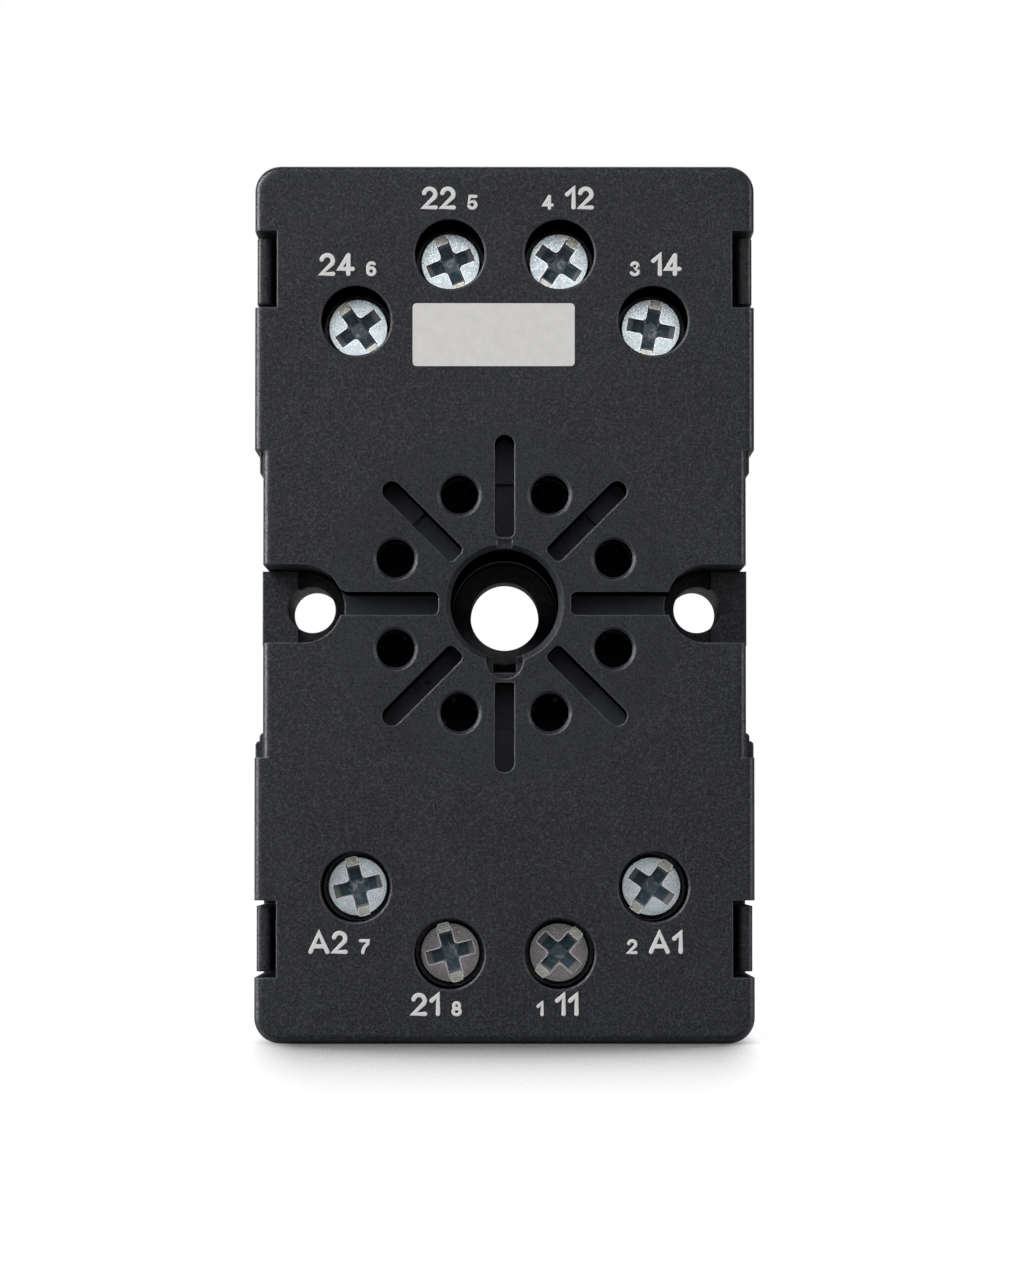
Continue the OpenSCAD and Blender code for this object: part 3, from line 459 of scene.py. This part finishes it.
def raised(path, ring, half, rise, edge):
    """A closed mesh of one stroke, from a little under the face to its rounded top, drawn in x and z."""
    levels = [(half, SUNK), (half, -rise + edge),
              (half - edge * 0.3, -rise + edge * 0.3), (half - edge, -rise)]
    mesh = bmesh.new()
    rings = []
    for width, y in levels:
        rings.append([[mesh.verts.new((p.x, y, p.y)) for p in loop] for loop in outline(path, width, ring)])
    for low, high in zip(rings, rings[1:]):
        for a, b in zip(low, high):
            for i in range(len(a)):
                j = (i + 1) % len(a)
                mesh.faces.new((a[i], a[j], b[j], b[i]))
    for loops in (rings[0], rings[-1]):
        if ring:
            for i in range(len(loops[0])):
                j = (i + 1) % len(loops[0])
                mesh.faces.new((loops[0][i], loops[0][j], loops[1][j], loops[1][i]))
        else:
            mesh.faces.new(loops[0])
    bmesh.ops.recalc_face_normals(mesh, faces=mesh.faces)
    return mesh


def as_object(mesh, name):
    data = bpy.data.meshes.new(name)
    mesh.to_mesh(data)
    mesh.free()
    made = bpy.data.objects.new(name, data)
    bpy.context.scene.collection.objects.link(made)
    return made


def joined(first, second):
    """The union of two objects, as the first one's mesh."""
    union = first.modifiers.new("union", "BOOLEAN")
    union.operation = "UNION"
    union.solver = "EXACT"
    union.object = second
    bpy.context.view_layer.update()
    data = bpy.data.meshes.new_from_object(first.evaluated_get(bpy.context.evaluated_depsgraph_get()))
    first.modifiers.clear()
    first.data = data
    bpy.data.objects.remove(second)
    return first


def sign(letter, height, stroke, rise):
    """One letter or digit as an object in millimetres, standing on z = 0 from x = 0."""
    made = None
    for path, ring in SIGNS[letter]:
        mesh = raised([p * height for p in path], ring, stroke / 2, rise, min(0.035, rise * 0.7))
        part = as_object(mesh, "stroke")
        made = joined(made, part) if made else part
    return made


def words(name, entries, rise):
    """Joins (text, x, z, height, stroke) entries into one piece on the front face."""
    whole = bmesh.new()
    for text, x, z, height, stroke in entries:
        for letter in text:
            part = sign(letter, height, stroke, rise)
            for vertex in part.data.vertices:
                placed = Vector((vertex.co.x + x, vertex.co.y, vertex.co.z + z))
                vertex.co = placed * MM + Vector((0, face_y, 0))
            whole.from_mesh(part.data)
            bpy.data.objects.remove(part)
            x += (SIGN_WIDTH[letter] + SIGN_GAP) * height
    made = as_object(whole, name)
    dress(made, print_grey)
    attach(made, "socket")
    return made


def width_of(text, height):
    return sum(SIGN_WIDTH[letter] + SIGN_GAP for letter in text) * height - SIGN_GAP * height


BIG, SMALL = 1.70, 1.07        # heights of the two sizes of figure, in mm
BIG_STROKE, SMALL_STROKE = 0.33, 0.25
BETWEEN = 0.86                 # gap between a terminal's number and its pin's number
RISE, SUNK = 0.05, 0.03        # how far the print stands above the face, and reaches below it
# For each pin: the terminal's number, and how far the pair's middle lies beside the screw, in mm.
MARKS = {1: ("11", -0.15), 2: ("A1", 0.1), 3: ("14", 0.2), 4: ("12", 0.65),
         5: ("22", 0.0), 6: ("24", -0.6), 7: ("A2", -1.2), 8: ("21", -0.95)}
ABOVE, BELOW_INNER, BELOW_OUTER = 3.3, -4.56, -4.93

for k in PINS:
    number, aside = MARKS[k]
    at = middle(f"terminal_screw_{k}") / MM
    outer = abs(at.x) > 8
    base_z = at.z + (ABOVE if at.z > 0 else BELOW_OUTER if outer else BELOW_INNER)
    wide, narrow = width_of(number, BIG), width_of(str(k), SMALL)
    left = at.x + aside - (wide + BETWEEN + narrow) / 2
    if at.x < 0:
        entries = [(number, left, base_z, BIG, BIG_STROKE),
                   (str(k), left + wide + BETWEEN, base_z, SMALL, SMALL_STROKE)]
    else:
        entries = [(str(k), left, base_z, SMALL, SMALL_STROKE),
                   (number, left + narrow + BETWEEN, base_z, BIG, BIG_STROKE)]
    words(f"terminal_mark_{number}", entries, RISE)


def label_field():
    """The blank light field for a user's own label, between the upper screws."""
    wide, tall, corner = 12.0, 4.68, 0.3
    at = Vector((-0.8, 0, 19.9))
    loop = []
    for x, z, start in ((1, 1, 0), (-1, 1, 90), (-1, -1, 180), (1, -1, 270)):
        loop += arc(x * (wide / 2 - corner), z * (tall / 2 - corner), corner, corner, start, start + 90, 6)
    mesh = bmesh.new()
    rings = []
    for inset, y in ((0, SUNK), (0, -0.03), (0.02, -RISE), (0.05, -RISE), (0.12, -0.044)):
        smaller = [Vector((p.x * (1 - 2 * inset / wide), p.y * (1 - 2 * inset / tall))) for p in loop]
        rings.append([mesh.verts.new(((p.x + at.x) * MM, face_y + y * MM, (p.y + at.z) * MM))
                      for p in smaller])
    for low, high in zip(rings, rings[1:]):
        for i in range(len(low)):
            j = (i + 1) % len(low)
            mesh.faces.new((low[i], low[j], high[j], high[i]))
    mesh.faces.new(rings[0])
    mesh.faces.new(rings[-1])
    bmesh.ops.recalc_face_normals(mesh, faces=mesh.faces)
    made = as_object(mesh, "label_field")
    dress(made, print_grey)
    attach(made, "socket")


label_field()


# ---------------------------------------------------------------- the catch's spring


def working_spring():
    """The catch's spring: a steel-finished copy of its mesh, fixed in place, in the stead of the hidden
    part.
    """
    rigid = nodes["catch_spring"]
    made = bpy.data.objects.new("spring_coils", rigid.data.copy())
    made.matrix_world = rigid.matrix_world.copy()
    bpy.context.scene.collection.objects.link(made)
    dress(made, spring_steel)
    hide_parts("catch_spring")
    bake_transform(made)


working_spring()


# ---------------------------------------------------------------- floor, light and camera


def studio_floor():
    """White as far as the camera sees, with a painted shadow near the object, where the floor's glow is
    dimmed by how much the object closes in round each point.
    """
    mesh = bmesh.new()
    bmesh.ops.create_grid(mesh, x_segments=8, y_segments=8, size=1.5)
    for vertex in mesh.verts:
        vertex.co.z = floor_z - 0.02 * MM
    made = as_object(mesh, "floor")
    finish = Finish("floor_white", (0.17, 0.17, 0.17), 0.9)
    finish.shader.inputs["Specular IOR Level"].default_value = 0.0
    light_path = finish.tree.nodes.new("ShaderNodeLightPath")
    seen = finish.math("MAXIMUM", light_path.outputs["Is Camera Ray"],
                       light_path.outputs["Is Transmission Ray"])
    seen = finish.math("ADD", seen, finish.times(light_path.outputs["Is Glossy Ray"], 0.35), clamp=True)
    # Painted shadow: the more the object closes in round a point of the floor, the less that point glows.
    shade = finish.ramp(finish.openness(215, 8), 0.62, 1.0, 1.0, 0.0)
    shade.node.interpolation_type = "LINEAR"
    # A mask narrows the painted shadow at both sides, less sharply the further it is from the object's
    # foot.
    before = finish.math("SUBTRACT", FACE, finish.along(1))
    behind = finish.math("SUBTRACT", finish.along(1), REAR)
    gap = finish.math("MAXIMUM", finish.math("MAXIMUM", before, behind), 0.0)
    full_left = finish.math("ADD", finish.times(gap, 0.1), 3.2 - HALF_W)
    left = finish.ramp(finish.along(0), -HALF_W - 1.5, full_left)
    full_right = finish.math("SUBTRACT", HALF_W - 2.4, finish.times(gap, 0.09))
    right = finish.ramp(finish.along(0), full_right, HALF_W + 1.2, 1, 0)
    under = finish.math("MAXIMUM", finish.times(left, right), 0.05)
    glow = finish.math("SUBTRACT", 1.0, finish.times(shade, under))
    finish.shader.inputs["Emission Color"].default_value = (1, 1, 1, 1)
    finish.link(finish.times(seen, glow), finish.shader.inputs["Emission Strength"])
    dress(made, finish.material)


def studio_world():
    """White to the camera, and a dim even light for all other rays."""
    world = bpy.data.worlds.new("studio")
    bpy.context.scene.world = world
    world.use_nodes = True
    tree = world.node_tree
    background = tree.nodes["Background"]
    light_path = tree.nodes.new("ShaderNodeLightPath")
    background.inputs["Color"].default_value = (1, 1, 1, 1)
    strength = tree.nodes.new("ShaderNodeMapRange")
    strength.inputs["To Min"].default_value = WORLD_LIGHT
    strength.inputs["To Max"].default_value = 1.0
    tree.links.new(light_path.outputs["Is Camera Ray"], strength.inputs["Value"])
    tree.links.new(strength.outputs["Result"], background.inputs["Strength"])


def softbox(name, place, aim, size, power):
    data = bpy.data.lights.new(name, "AREA")
    data.shape = "RECTANGLE"
    data.size, data.size_y = size
    data.energy = power
    made = bpy.data.objects.new(name, data)
    made.location = place
    made.rotation_euler = (Vector(aim) - Vector(place)).to_track_quat("-Z", "Y").to_euler()
    bpy.context.scene.collection.objects.link(made)


def camera():
    """Level with the socket's lower third, close to the floor, and raised a little by lens shift."""
    data = bpy.data.cameras.new("camera")
    made = bpy.data.objects.new("camera", data)
    bpy.context.scene.collection.objects.link(made)
    distance = 265 * MM
    frame_height = 94.5 * MM
    shift = 0.094
    made.location = (0, face_y - distance, -17.4 * MM)
    aim = Vector((0.55 * MM, face_y, -2.72 * MM - shift * frame_height))
    toward = aim - made.location
    made.rotation_euler = toward.to_track_quat("-Z", "Y").to_euler()
    data.sensor_width = 36
    data.lens = data.sensor_width * toward.length / frame_height
    data.shift_y = shift
    data.clip_start = 0.01
    bpy.context.scene.camera = made


WORLD_LIGHT = 0.08
studio_floor()
studio_world()
softbox("key", (-0.6, -0.09, 0.06), (0, 0, 0), (0.25, 0.9), 6.3)
softbox("front", (-0.12, -0.9, 0.3), (0, 0, 0), (0.8, 0.5), 2.1)
softbox("high", (-0.5, -0.55, 0.65), (0, 0, 0), (0.4, 0.4), 5.2)
softbox("right", (0.6, -0.2, 0.1), (0, 0, 0), (0.3, 0.6), 1.4)
softbox("back", (0.1, 0.7, 0.5), (0, 0, 0), (0.8, 0.5), 1.5)
camera()

view = bpy.context.scene.view_settings
view.view_transform = "Standard"
